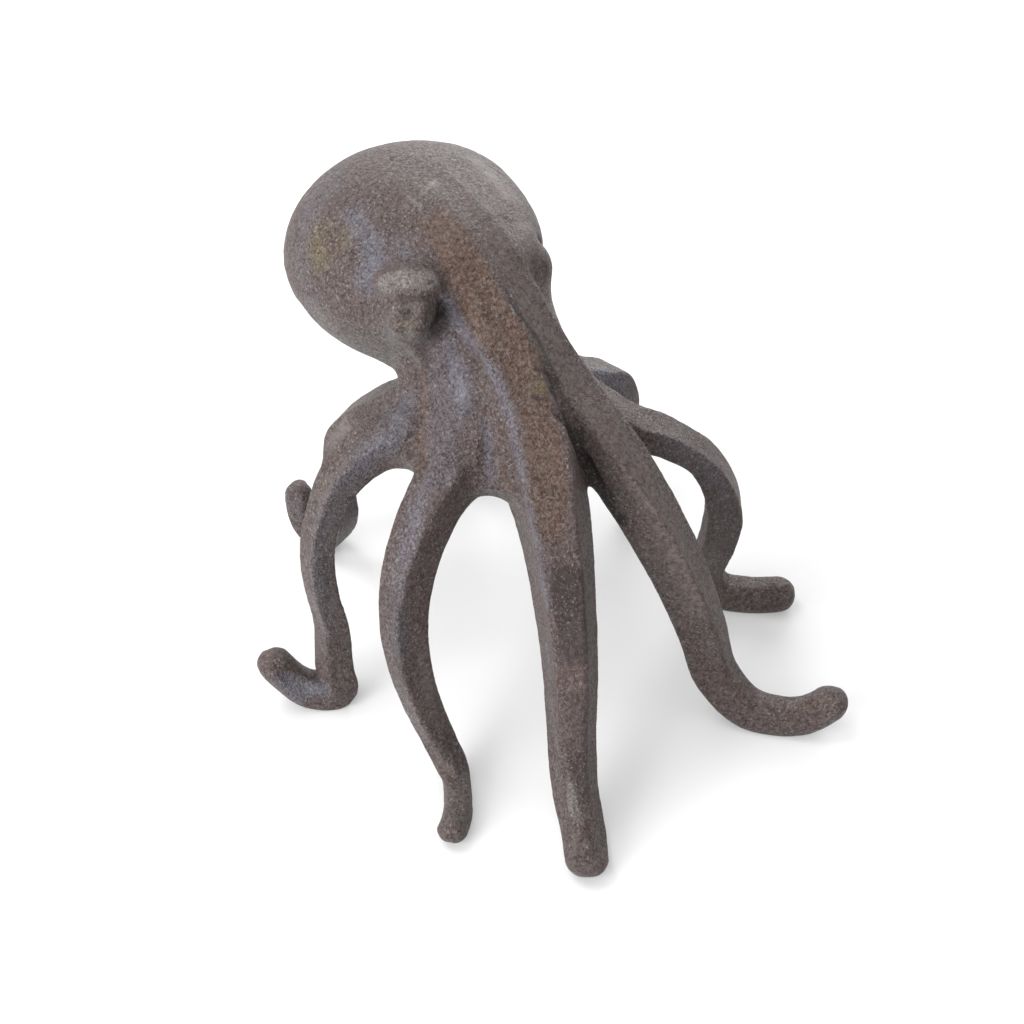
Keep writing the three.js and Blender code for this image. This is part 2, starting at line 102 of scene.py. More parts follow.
# Arms: middle lines from high on the head to the toe, and at even steps along them the compass
# turn of the outer face, the widths and the depths
ARMS = {
    "front_left": dict(
        taper=0.6, turn=(-6, -20, -36, -36, -36), width=(11.9, 12.6, 17.4, 12.8, 9.9, 8.4),
        depth=(3.5, 7.7, 13.8, 11.2, 9.2, 8.4),
        line=((-2.9, 39.1, 96.8), (-2.9, 29.3, 96), (-2.9, 15.4, 89.1), (-3.2, 4.9, 79.6),
              (-4.5, -2.8, 70.6), (-6, -10.2, 64), (-8.7, -16.8, 56.9), (-10.8, -22.5, 47.8),
              (-13.4, -28.1, 37.4), (-16.6, -33.8, 26.2), (-20.3, -38.9, 16.8),
              (-23.8, -44.5, 9.1), (-26.9, -51.2, 3.8), (-29.9, -55.5, 4.2),
              (-31.3, -57.7, 7.2))),
    "front_right": dict(
        taper=0.84, turn=(4, 16, 28, 36, 40), width=(10.5, 11.5, 11.3, 9.2, 7.7, 7.5),
        depth=(3.5, 7.7, 9.7, 9.4, 8.1, 7.4),
        line=((2.7, 39.1, 96.8), (2.7, 29.3, 96), (2.7, 15.4, 89.1), (3, 5, 79.6),
              (5, -3.5, 69.9), (6.6, -11, 63.3), (8.8, -16.9, 57.1), (11.3, -25.6, 46.1),
              (14, -30.9, 34.9), (16.3, -35.8, 22.4), (17.7, -39.6, 11.2), (20.9, -46.1, 4.3),
              (24.9, -51.4, 3.3), (28.8, -55.3, 4.2), (32.6, -58.3, 8.1), (33.8, -59.3, 11.1))),
    "mid_left": dict(
        taper=0.84, turn=(-62, -75, -88, -80, -50), width=(9.1, 11.8, 8.5, 6.6, 5.5, 6.2),
        depth=(5.6, 9, 8.3, 6.9, 5.5, 6.1),
        line=((-10.1, 14, 80.3), (-11.5, 8, 72.3), (-14, 3.1, 66.4), (-20.3, -0.9, 61.7),
              (-26.8, -3.3, 58.9), (-32.6, -5.6, 53.8), (-37.1, -8, 47.4), (-40, -10.5, 39.1),
              (-40.5, -12.8, 29.4), (-39.3, -14.5, 19.7), (-37.5, -16.9, 10.5),
              (-37.7, -22.9, 3.8), (-41.4, -29.1, 3.1), (-46, -33.5, 4.2), (-47.2, -34.7, 6.6))),
    "mid_right": dict(
        taper=0.84, turn=(50, 52, 52, 50, 50), width=(8.4, 10.6, 8.6, 8.9, 7.3, 8.2),
        depth=(5.6, 6, 4.6, 7.6, 6.4, 7.6),
        line=((7.7, 12.6, 74.1), (9.1, 4.9, 68.1), (12.2, -2.1, 63.2), (17, -8.4, 59.2),
              (24.8, -13, 54.3), (31.5, -16.4, 47.5), (35.1, -18.5, 39.5), (36.9, -19, 31.1),
              (36.7, -18, 21.7), (36.7, -15.9, 11.9), (39.7, -16.8, 4.9), (43.6, -20.6, 3.7),
              (48.8, -25.5, 4.4), (51.8, -28.3, 6))),
    "side_left": dict(
        taper=0.84, turn=(-95, -98, -94, -94, -100), width=(8.4, 10.5, 6.6, 6.6, 7.6, 7.5),
        depth=(6.3, 7.7, 5, 5, 6.5, 7.4),
        line=((-11.5, 21, 73.4), (-14.7, 16.8, 68.1), (-18.2, 13.3, 64.6), (-22.8, 12.3, 63.3),
              (-29.1, 14.5, 60.7), (-35.1, 15.7, 56.2), (-39.4, 16, 49.3), (-42.1, 15.9, 40.5),
              (-42.8, 14.8, 30.7), (-41.8, 13.7, 20.3), (-42.5, 12.8, 8.7), (-43.2, 11.2, 3.5),
              (-48.2, 15.2, 3.8), (-52.2, 18.5, 9.4), (-54.1, 19.4, 14.1))),
    "side_right": dict(
        taper=0.84, turn=(95, 101, 108, 108, 108), width=(8.4, 11.2, 9.2, 8.2, 7.7, 6.3),
        depth=(5.6, 7.7, 7.3, 6.6, 6.3, 5.6),
        line=((7.7, 18.2, 71.3), (10.8, 14, 65.7), (15.4, 10.5, 60.4), (21.1, 8.4, 57.6),
              (26.3, 8.1, 54.7), (28.9, 8.2, 49), (30.5, 9.2, 41.9), (32.1, 10, 32.1),
              (34.8, 11.2, 22.4), (38.4, 12.9, 12.6), (43, 15.4, 4.9), (46.5, 16.8, 3.5),
              (49.6, 17.5, 6.3))),
    "rear_left": dict(
        taper=0.84, turn=(-150, -156, -162, -162, -162), width=(8.4, 10.1, 8.9, 7.6, 7.5, 6.1),
        depth=(5.6, 8.4, 7.5, 6.3, 6.6, 5.6),
        line=((-6.3, 18.2, 69.9), (-9.1, 19.9, 66.4), (-11.5, 22.4, 62.2), (-13.3, 26.5, 57),
              (-15.9, 32.3, 51.2), (-18.4, 38.3, 43.4), (-18.7, 41.3, 33.4), (-20.2, 43.3, 24.5),
              (-19.5, 44.1, 15.7), (-19, 48.1, 7.7), (-18.7, 53.2, 3.3), (-19.7, 56.8, 4.8),
              (-20.5, 58.4, 10.5), (-20.5, 58.1, 15.8))),
}
rear = ARMS["rear_left"]
ARMS["rear_right"] = dict(
    taper=rear["taper"], turn=tuple(-a for a in rear["turn"]), width=rear["width"],
    depth=rear["depth"],
    line=tuple((-x, y, z) for x, y, z in rear["line"]))
ARM_SIDES = 44
ARM_STEP = 0.8
ROUNDING = (0.7, 0.34, 0.18, 0.18, 0.34, 0.9)  # of its long edges, as shares of its half size
ARM_BLEND = 4.0

# Webs between neighbouring arms, each from one share of the arm's length to another
WEBS = (
    ("front_left", 0.33, 0.486, "mid_left", 0.1, 0.256),
    ("mid_left", 0.1, 0.27, "side_left", 0.05, 0.22),
    ("side_left", 0.05, 0.2, "rear_left", 0.02, 0.2),
    ("rear_left", 0.02, 0.14, "rear_right", 0.02, 0.14),
    ("rear_right", 0.02, 0.2, "side_right", 0.05, 0.23),
    ("side_right", 0.05, 0.22, "mid_right", 0.06, 0.25),
    ("mid_right", 0.06, 0.24, "front_right", 0.31, 0.43),
)
WEB = (1.4, 5.2, 5.2, 4.9, 4.2)  # thickness, from the head to the free edge
WEB_ROUNDING = 0.9
WEB_BLEND = 5.0

# Soft ridges and hollows of the face and neck, and the crack between the front arms: the radius
# and line of each, in units
RIDGES = (
    (1.8, ((-17.4, 14.9, 80.6), (-14.8, 13.6, 74.1), (-16.6, 9.9, 68.7), (-21.4, 5.1, 64.2))),
    (1.7, ((-9.3, 4.1, 76.6), (-9.8, -1.4, 73.1), (-11.5, -5.8, 67.3), (-13.1, -10.1, 62.4))),
    (1.7, ((-9.7, 14, 87.5), (-8, 10.4, 84.8), (-8.1, 5.3, 82.3), (-8.5, 1, 78.5),
           (-8.7, -2.8, 74.7), (-10.2, -7.9, 70.1), (-11.8, -12.5, 65.6), (-13.6, -17.5, 60))),
    (1.7, ((-19.4, 1.3, 65.8), (-24.5, -1.8, 62.9), (-29.1, -5.1, 60.4), (-33.1, -7.4, 56.9))),
)
RIDGE_BLEND = 2.0
HOLLOWS = (
    (2.4, ((-17.4, 0.6, 70.2), (-19, -4.3, 68.1), (-21, -8.2, 63.4))),
    (2.8, ((-14.2, 8.9, 81.3), (-15.1, 6, 76.8), (-16.8, 3.2, 72.6))),
    (1, ((-9.5, -2.1, 77.5), (-10.8, -7, 72.6), (-13.4, -11.7, 66.9), (-14.8, -15.6, 62.4))),
)
HOLLOW_BLEND = 2.0
CRACK = (1.3, ((-3.4, -9.6, 75), (-2.2, -12.4, 71), (0, -13.4, 66), (1.6, -14.6, 60.5),
               (3.4, -18, 55)))
CRACK_BLEND = 0.8

# Eyes: soft lumps on a mound, under a brow and with a hollow beside them. Places are in units;
# sizes and offsets are in millimetres, along the brow, up, and out of the head.
EYES = {
    "left": dict(at=(-14.7, 18.2, 84.5), look=(-0.52, -0.64, 0.56), lumps=(
        (6.4, (-0.4, -0.2, 5.6)), (2.8, (-2.8, 1.2, 10.6)), (2.4, (2.4, 1.6, 10.6)),
        (2.8, (1.2, -3.0, 10)), (2.2, (-3.4, -3.2, 9.8)))),
    "right": dict(at=(10.9, 18.9, 82.2), look=(0.66, -0.6, 0.45), lumps=(
        (6.4, (0.0, 0.4, 4.2)),)),
}
MOUND = 9.0
MOUND_BLEND = 5.0
LUMP_BLEND = 1.8
BROW = (8.8, 4.2, 5.2)
BROW_PLACE = (-1.8, 8.8, 3.8)
BROW_BLEND = 4.5
BESIDE = (2.6, 5.6, 5.0)
BESIDE_PLACE = (7.8, -2.4, 6.2)
BESIDE_BLEND = 2.2
EYE_REACH = 22

# Screws: where they are, as a number along the head's sections, and their sizes in millimetres
SCREWS = {"mantle_screw": 6.2, "neck_screw": 3.6}
SCREW_GRIP = 12
SCREW_SINK = 4.4
SHANK = 2
HEAD_RADIUS = 4
HEAD_HEIGHT = 3
SLOT_WIDTH = 1.2
SLOT_DEPTH = 1.4
SLOT_TURN = 36
FIT = 0.3
BOSS = 5.5
BORE_SPARE = 2
BROKEN_EDGE = 0.45
ROUND_SIDES = 64

# Unevenness of the casting: height, width and seed of the bumps
SWELL = ((0.1, 6.0, 1), (0.07, 2.6, 2))
GRAIN = ((0.06, 1.3, 3),)
CALM = 0.75  # how much less uneven the smooth patches are
SOLE_EDGE = (0.3, 1.5)  # heights over which the unevenness leaves the ground soles

# Patches of the patina and of painted light and shade, each a stroke drawn over the photograph: how
# strong it is, and along its middle line how far across and down the picture it lies and its half
# width, in pixels
STROKES = {
    "red": {
        "mid left arm": (0.9, (468, 425, 8), (470, 450, 10), (468, 480, 12), (452, 505, 11),
            (436, 535, 10), (424, 570, 11), (420, 610, 11), (424, 650, 11)),
        "front left arm": (0.9, (562, 555, 14), (572, 600, 14), (575, 660, 14), (575, 720, 13),
            (577, 780, 9)),
        "front right arm, middle": (0.7, (700, 600, 10), (702, 560, 9)),
        "rear left arm": (0.8, (350, 425, 12), (335, 440, 10)),
        "front right arm, low": (0.7, (690, 640, 16), (705, 680, 14), (760, 710, 12)),
        "forehead": (0.6, (480, 232, 10), (500, 262, 8)),
    },
    "rust": {
        "forehead band": (1, (440, 226, 14), (452, 240, 18), (463, 260, 20), (471, 280, 20),
            (480, 300, 20), (492, 320, 20), (507, 342, 21), (518, 362, 22), (524, 382, 21),
            (527, 400, 19), (537, 420, 17), (541, 440, 17), (544, 460, 17), (546, 480, 17),
            (549, 510, 16), (552, 535, 12)),
        "neck under the left eye": (0.75, (424, 372, 5), (426, 395, 6), (427, 420, 7),
            (424, 440, 8), (424, 460, 8), (423, 475, 7)),
        "neck beside the band": (0.5, (497, 445, 4), (500, 465, 4), (506, 485, 5), (508, 500, 5)),
        "left eye, lower edge": (0.5, (440, 352, 6), (430, 345, 5)),
        "front right toe": (0.5, (800, 705, 6), (822, 700, 5)),
    },
    # Film: blue-grey film, and painted highlight on ridges and faces turned to the light
    "film_and_highlight": {
        "mantle, upper left": (0.8, (352, 212, 9), (362, 228, 9)),
        "mantle beside the left eye": (1, (372, 240, 9), (374, 262, 10), (366, 280, 9),
            (369, 292, 6)),
        "mantle above the left eye": (0.5, (398, 246, 10), (410, 255, 8)),
        "valley under the left eye": (0.9, (450, 348, 7), (455, 370, 11), (462, 395, 11),
            (462, 412, 8)),
        "valley, lower end": (0.7, (486, 425, 5), (488, 455, 6), (490, 478, 6)),
        # Painted highlight along the ridge
        "ridge beside the forehead band": (1, (447, 305, 5), (456, 322, 6), (472, 342, 5),
            (484, 360, 4), (495, 377, 4), (503, 395, 4), (510, 415, 4), (515, 440, 4),
            (519, 462, 4), (523, 482, 4), (528, 505, 4), (534, 535, 3.5), (541, 565, 3.5),
            (546, 605, 3)),
        # Painted light on the arm's top
        "side left arm, top": (0.8, (408, 402, 9), (396, 430, 13), (378, 448, 11), (358, 468, 8),
            (344, 486, 6)),
        # Painted light on the arm's top
        "mid left arm, top": (0.7, (440, 458, 6), (430, 478, 8), (420, 500, 8), (412, 530, 7),
            (404, 562, 6)),
        # Painted light on the foot's lit face
        "side left foot": (1, (284, 682, 7), (302, 690, 11), (318, 688, 8)),
        "left side of the neck": (0.45, (440, 340, 12), (448, 380, 22), (450, 430, 24),
            (446, 470, 18)),
        "side left arm, whole": (0.4, (404, 410, 14), (370, 450, 14), (330, 500, 10),
            (318, 560, 9), (330, 630, 8)),
        "mid left arm, outer edge": (0.45, (408, 540, 9), (396, 590, 9), (400, 650, 9)),
        "side right arm": (0.9, (600, 372, 11), (622, 385, 10)),
        "mid right arm": (0.4, (670, 440, 8), (705, 465, 7), (728, 500, 5)),
        # Painted pale rim along the mantle's left edge: painted reflection
        "mantle, far left": (0.35, (330, 180, 16), (312, 215, 14), (300, 260, 10),
            (312, 300, 10)),
        "rear left toe": (0.4, (296, 500, 7), (300, 515, 6)),
        # Painted highlight along the edge
        "front left arm, left edge": (0.4, (546, 640, 4), (550, 700, 4), (556, 740, 4)),
    },
    "olive": {
        "mantle, far left": (0.9, (322, 226, 7), (316, 246, 10), (320, 262, 8)),
        "mantle, left": (0.6, (342, 232, 6), (340, 250, 5)),
        "round spot on the band": (0.9, (541, 386, 5)),
        "left eye": (0.5, (404, 322, 5), (412, 336, 4)),
        "side left arm": (0.4, (330, 478, 5), (322, 490, 5)),
    },
    # Pale: scratches, chips and scuffs, and painted highlights on the brow, eye and mantle rim
    "pale_wear_and_highlight": {
        # The brow: paler tan, and painted light on its top
        "left brow": (1, (384, 284, 9), (404, 279, 10), (428, 280, 9)),
        "rear left arm": (0.35, (345, 425, 9), (330, 445, 7)),
        # Painted pale rim: painted reflection
        "mantle, lower left": (0.35, (318, 312, 9), (330, 325, 8)),
        # Painted highlight on the eye
        "left eye": (0.2, (398, 305, 6), (414, 310, 6)),
        "scratch on the mantle": (0.9, (424, 192, 3), (430, 186, 3), (436, 181, 2)),
        "scratch beside it": (0.6, (412, 200, 2), (420, 206, 2.5)),
        "short scratch": (0.8, (444, 214, 1.5), (449, 209, 1.5)),
        "chip on the joint": (1, (511, 306, 1), (514, 315, 1)),
        "chip at the crack": (1, (557, 399, 1.5), (561, 409, 1.5)),
        "front left foot": (0.9, (571, 782, 4), (572, 800, 5), (575, 812, 5)),
        "front left toe": (0.7, (588, 845, 4)),
        "front left arm, low edge": (0.7, (556, 742, 2), (560, 756, 2)),
    },
    # Dark: the joint and the ring round the olive spot, and painted shadow and shade
    "dark_and_painted_shade": {
        # Painted shadow beside the eye
        "beside the left eye": (1, (438, 303, 3), (438, 315, 4.5), (431, 327, 4)),
        "joint on the forehead": (0.9, (506, 290, 1.8), (513, 304, 2), (522, 317, 2),
            (538, 340, 2.2), (546, 356, 2.2), (553, 371, 2.2), (560, 386, 2.4)),
        # Dark crack, and painted shade in the crotch below it
        "crack between the front arms": (1, (561, 412, 2.5), (568, 428, 5), (578, 447, 7),
            (590, 468, 9), (604, 492, 9), (618, 520, 8)),
        # Painted shade on the front left arm's steep face, here and in the next stroke
        "front left arm, right side": (0.7, (568, 580, 15), (572, 610, 15), (574, 650, 14)),
        "front left arm, low": (0.4, (576, 700, 12), (580, 790, 9), (588, 850, 10)),
        # Painted shade on the lower mid left arm
        "mid left arm": (0.3, (390, 600, 12), (400, 640, 11), (412, 680, 9)),
        "mantle top": (0.25, (430, 160, 12), (450, 180, 12)),
        "ring round the olive spot": (0.8, (536, 370, 1.6), (548, 374, 1.6), (553, 388, 1.6),
            (546, 400, 1.6), (533, 397, 1.6)),
        "front left foot, edge": (0.6, (577, 750, 2), (580, 775, 2.5), (580, 800, 3)),
        # Painted shadow under the bend
        "side left arm, under its bend": (0.5, (350, 505, 5), (372, 480, 4)),
        "mid left foot, edge": (0.6, (436, 700, 2), (448, 740, 2), (458, 765, 2), (461, 790, 2)),
        # Painted shade on the inner side
        "side left arm, inner edge": (0.5, (325, 560, 3), (328, 600, 3)),
    },
    "smooth": {
        "right of the joint and front right arm": (1, (492, 240, 7), (505, 262, 8), (516, 282, 8),
            (528, 304, 10), (542, 328, 11), (556, 352, 11), (572, 380, 12), (592, 404, 13),
            (612, 432, 13), (632, 462, 13), (652, 496, 13), (668, 530, 12), (684, 568, 11),
            (698, 606, 11)),
        "mantle, right": (0.8, (480, 165, 12), (512, 200, 12)),
        "rear left arm": (0.8, (350, 425, 10), (335, 440, 8)),
        "mid right and front right arm": (0.7, (708, 560, 8), (712, 590, 8)),
        "mid left arm": (0.7, (440, 720, 8), (430, 690, 8), (424, 650, 8)),
        "front left arm": (0.8, (575, 640, 12), (578, 700, 12), (580, 740, 10)),
        "valley under the left eye": (0.6, (462, 392, 9)),
    },
}
PIXEL = 0.311  # width of one pixel of the picture on the figure, in millimetres
RAGGED = ((0.9, 5.0, 11), (0.5, 2.0, 12))  # bumps of the patches' edges
SOFTNESS = {"red": 3.0, "rust": 1.4, "film_and_highlight": 2.6, "olive": 3.0, "pale_wear_and_highlight": 1.4, "dark_and_painted_shade": 1.2,
            "smooth": 2.4}

# Wear, and painted shade and highlight: the depths at which the skin feels for metal or air, and
# the sums over which the recesses' painted shade and the worn ridges with their painted highlight
# begin and end
FEELERS = (1.2, 3.0)
RECESS_PAINTED_SHADE = (0.05, 0.8)
WORN_RIDGE_AND_HIGHLIGHT = (0.12, 0.9)
UPWARD_PAINTED_LIGHT = (-0.25, 0.65)  # how far a face looks up, between the side colours and the top colours; the tops are painted paler, as painted light from above
SHARP_ANGLE = math.radians(52)

# Floor and lamps: place, target, width and power of each lamp, in metres and watts
FLOOR_SIZE = 3.0
FLOOR_GREY = 0.62
FLOOR_GLOW = 0.2
SKY_LIGHT = 0.82
LAMPS = {
    "key": ((-0.3, 0.45, 1.0), (0, 0, 0.05), 0.8, 7.0),
    "left": ((-1.15, -0.05, 0.42), (0, 0, 0.08), 0.9, 17.0),
    "right": ((0.95, 0.75, 0.45), (0, 0, 0.08), 0.9, 11.5),
}


# Curves and lofts

def smooth_line(points, count=1200):
    """A centripetal spline through the points, at even steps of its length, and its length."""
    p = np.asarray(points, float) * UNIT
    p = np.vstack([2 * p[0] - p[1], p, 2 * p[-1] - p[-2]])
    out = []
    for i in range(1, len(p) - 2):
        a, b, c, d = p[i - 1:i + 3]
        t0, t1, t2 = (np.linalg.norm(v) ** 0.5 for v in (b - a, c - b, d - c))
        m1 = ((b - a) / t0 - (c - a) / (t0 + t1) + (c - b) / t1) * t1
        m2 = ((c - b) / t1 - (d - b) / (t1 + t2) + (d - c) / t2) * t1
        t = np.linspace(0, 1, 60, endpoint=False)[:, None]
        out.append(b + m1 * t + (3 * (c - b) - 2 * m1 - m2) * t**2
                   + (2 * (b - c) + m1 + m2) * t**3)
    out.append(p[-2:-1])
    q = np.vstack(out)
    s = np.concatenate([[0], np.cumsum(np.linalg.norm(np.diff(q, axis=0), axis=1))])
    even = np.linspace(0, s[-1], count)
    return np.stack([np.interp(even, s, q[:, i]) for i in range(3)], 1), s[-1]


def along(values, u):
    return np.interp(u, np.linspace(0, 1, len(values)), values)


def unit(v):
    return v / np.linalg.norm(v, axis=-1, keepdims=True)


def arm_path(arm):
    """Centres, frames and half sizes of an arm's sections, down to its rounded toe."""
    q, length = smooth_line(arm["line"])
    even = np.linspace(0, 1, len(q))
    toe = arm["depth"][-1] * UNIT / 2 / length
    body = np.linspace(0, 1 - toe, int(length / ARM_STEP))
    angle = np.linspace(0, math.pi / 2, 14)[1:-1]
    u = np.concatenate([body, 1 - toe + toe * np.sin(angle)])
    round_ = np.concatenate([np.ones(len(body)), np.cos(angle)])
    centre = np.stack([np.interp(u, even, q[:, i]) for i in range(3)], 1)
    tangent = unit(np.stack([np.interp(u, even, np.gradient(q[:, i])) for i in range(3)], 1))
    turn = np.radians(along(arm["turn"], u))
    across = np.stack([np.cos(turn), np.sin(turn), 0 * turn], 1)
    across = unit(across - tangent * np.sum(across * tangent, 1, keepdims=True))
    return dict(u=u, centre=centre, across=across, length=length, taper=arm["taper"],
                out=np.cross(tangent, across), half_w=along(arm["width"], u) * UNIT / 2 * round_,
                half_d=along(arm["depth"], u) * UNIT / 2 * round_)


def rings_of(path, sides=ARM_SIDES, rounding=None):
    """Sections with rounded corners, narrower on the outside by the path's taper."""
    angle = (np.arange(sides) + 0.5) / sides * 2 * math.pi
    ca, sa = np.cos(angle), np.sin(angle)
    w, d = path["half_w"][:, None], path["half_d"][:, None]
    if rounding is None:
        rounding = along(ROUNDING, path["u"])[:, None]
    r = rounding * np.minimum(w, d)
    side_w = np.where(sa > 0, w * path["taper"], w)
    a = np.sign(ca) * (side_w - r) + r * ca
    b = np.sign(sa) * (d - r) + r * sa
    return (path["centre"][:, None] + path["across"][:, None] * a[..., None]
            + path["out"][:, None] * b[..., None])


def web_path(one, start_one, end_one, other, start_other, end_other, steps=24):
    """Flat sections from one arm's middle line to its neighbour's, from the head outwards."""
    a, b = (np.stack([np.interp(np.linspace(start, end, steps), path["u"], path["centre"][:, i])
                      for i in range(3)], 1)
            for path, start, end in ((one, start_one, end_one), (other, start_other, end_other)))
    centre = (a + b) / 2
    tangent = unit(np.gradient(centre, axis=0))
    across = unit(b - a - tangent * np.sum((b - a) * tangent, 1, keepdims=True))
    return dict(centre=centre, across=across, out=np.cross(tangent, across), taper=1,
                half_w=np.linalg.norm(b - a, axis=1) / 2,
                half_d=along(WEB, np.linspace(0, 1, steps)) * UNIT / 2)


def cord_rings(radius, line, steps=40):
    """Round sections along a line, thinner towards both ends."""
    q, _ = smooth_line(line, steps)
    tangent = unit(np.gradient(q, axis=0))
    across = unit(np.cross(tangent, (0.3, 0.2, 0.93)))
    share = np.sin(np.linspace(0.12, math.pi - 0.12, steps)) ** 0.5
    path = dict(centre=q, across=across, out=np.cross(tangent, across), taper=1,
                half_w=radius * UNIT * share, half_d=radius * UNIT * share)
    return rings_of(path, 20, 1.0)


def skin(rings):
    """Points, triangles and quads of a closed skin over rings of points."""
    n, m = rings.shape[:2]
    points = np.vstack([rings.reshape(-1, 3), rings[0].mean(0), rings[-1].mean(0)])
    i, j = np.meshgrid(np.arange(n - 1), np.arange(m), indexing="ij")
    k = (j + 1) % m
    quads = np.stack([i * m + j, i * m + k, (i + 1) * m + k, (i + 1) * m + j], -1).reshape(-1, 4)
    j = np.arange(m)
    k = (j + 1) % m
    first = np.stack([np.full(m, n * m), k, j], 1)
    last = np.stack([np.full(m, n * m + 1), (n - 1) * m + j, (n - 1) * m + k], 1)
    return points, np.vstack([first, last]), quads


def section_at(s):
    """The head's section number s: y, z, lean, half width, half depth."""
    s = np.atleast_1d(np.asarray(s, float))
    i = np.minimum(np.floor(s).astype(int), len(HEAD) - 2)
    t = (s - i)[:, None]
    p, q, r, u = (HEAD[np.clip(i + k, 0, len(HEAD) - 1)] for k in (-1, 0, 1, 2))
    a, b = (r - p) / 2, (u - q) / 2
    value = q + a * t + (3 * (r - q) - 2 * a - b) * t**2 + (a + b - 2 * (r - q)) * t**3
    return value * (UNIT, UNIT, 1, UNIT, UNIT)


def head_rings(inset, below=0.0, sides=96):
    rows = section_at(np.linspace(0, len(HEAD) - 1, 61))
    size = np.ones(len(rows))
    widest = rows[-1]
    lean = math.radians(widest[2])
    angle = np.linspace(0, math.pi / 2, 40)[1:-1]
    back = (MANTLE_END * UNIT - inset) * np.sin(angle) ** (2 / END_FULLNESS)
    end = np.repeat(widest[None], len(angle), 0)
    end[:, 0] += back * math.sin(lean)
    end[:, 1] += back * math.cos(lean)
    rows = np.vstack([rows, end])
    size = np.concatenate([size, np.cos(angle) ** (2 / END_FULLNESS)])
    if below:
        first = rows[:1].copy()
        first[0, 1] -= below
        rows = np.vstack([first, rows])
        size = np.concatenate([[1], size])
    y, z, lean, a, b = rows.T
    lean = np.radians(lean)
    turn = np.arange(sides) / sides * 2 * math.pi
    a = (a - inset) * size
    b = (b - inset) * size
    rings = np.zeros((len(rows), sides, 3))
    rings[..., 0] = -a[:, None] * np.cos(turn)
    rings[..., 1] = y[:, None] - b[:, None] * np.sin(turn) * np.cos(lean)[:, None]
    rings[..., 2] = z[:, None] + b[:, None] * np.sin(turn) * np.sin(lean)[:, None]
    return rings


# Distance fields

LOW = BOX_LOW - GRID_ROOM
HIGH = BOX_HIGH + GRID_ROOM
FIRST = np.floor(LOW / VOXEL).astype(int)
CELLS = np.ceil(HIGH / VOXEL).astype(int) - FIRST + 1
TRANSFORM = openvdb.createLinearTransform(voxelSize=VOXEL)


def window(points, room=BAND):
    """The index window round some points, in the whole grid."""
    a = np.floor((points.min(0) - room) / VOXEL).astype(int) - FIRST
    b = np.ceil((points.max(0) + room) / VOXEL).astype(int) - FIRST + 1
    return tuple(slice(max(0, lo), min(n, hi)) for lo, hi, n in zip(a, b, CELLS))


def axes_of(win):
    return np.meshgrid(*((np.arange(w.start, w.stop) + f) * VOXEL for w, f in zip(win, FIRST)),
                       indexing="ij", sparse=True)


def distance_to(points, tris, quads):
    """Signed distance in a window round a closed skin."""
    band = BAND / VOXEL
    grid = openvdb.FloatGrid.createLevelSetFromPolygons(
        points.astype(np.float32), tris.astype(np.uint32), quads.astype(np.uint32), TRANSFORM,
        band, band)
    win = window(points)
    part = np.empty([w.stop - w.start for w in win], np.float32)
    grid.copyToArray(part, tuple(int(w.start + f) for w, f in zip(win, FIRST)))
    return win, part


def smooth_min(a, b, k):
    h = np.maximum(k - np.abs(a - b), 0) / k
    return np.minimum(a, b) - h * h * k / 4


def join(field, win, other, k):
    field[win] = smooth_min(field[win], other, k)


def carve(field, win, other, k):
    field[win] = -smooth_min(-field[win], other, k)


def ball_field(win, centre, radii, axes=np.eye(3)):
    x, y, z = axes_of(win)
    p = [x - centre[0], y - centre[1], z - centre[2]]
    p = [p[0] * a[0] + p[1] * a[1] + p[2] * a[2] for a in axes]
    r = np.asarray(radii, float) * np.ones(3)
    k0 = np.sqrt(sum((c / s) ** 2 for c, s in zip(p, r)))
    k1 = np.sqrt(sum((c / s**2) ** 2 for c, s in zip(p, r))) + 1e-6
    return (k0 * (k0 - 1) / k1).astype(np.float32)


def bar_field(win, radius, y, z):
    """Distance to an endless bar along x."""
    _, gy, gz = axes_of(win)
    return (np.sqrt((gy - y) ** 2 + (gz - z) ** 2) - radius).astype(np.float32)


def add_eye(field, at, look, lumps):
    at = np.array(at) * UNIT
    look = unit(np.array(look))
    level = unit(np.cross((0, 0, 1.0), look))
    axes = np.array((level, np.cross(look, level), look))
    win = window(at[None], EYE_REACH)
    join(field, win, ball_field(win, at, MOUND), MOUND_BLEND)
    join(field, win, ball_field(win, at + BROW_PLACE @ axes, BROW, axes), BROW_BLEND)
    carve(field, win, ball_field(win, at + BESIDE_PLACE @ axes, BESIDE, axes), BESIDE_BLEND)
    for radius, place in lumps:
        join(field, win, ball_field(win, at + place @ axes, radius), LUMP_BLEND)


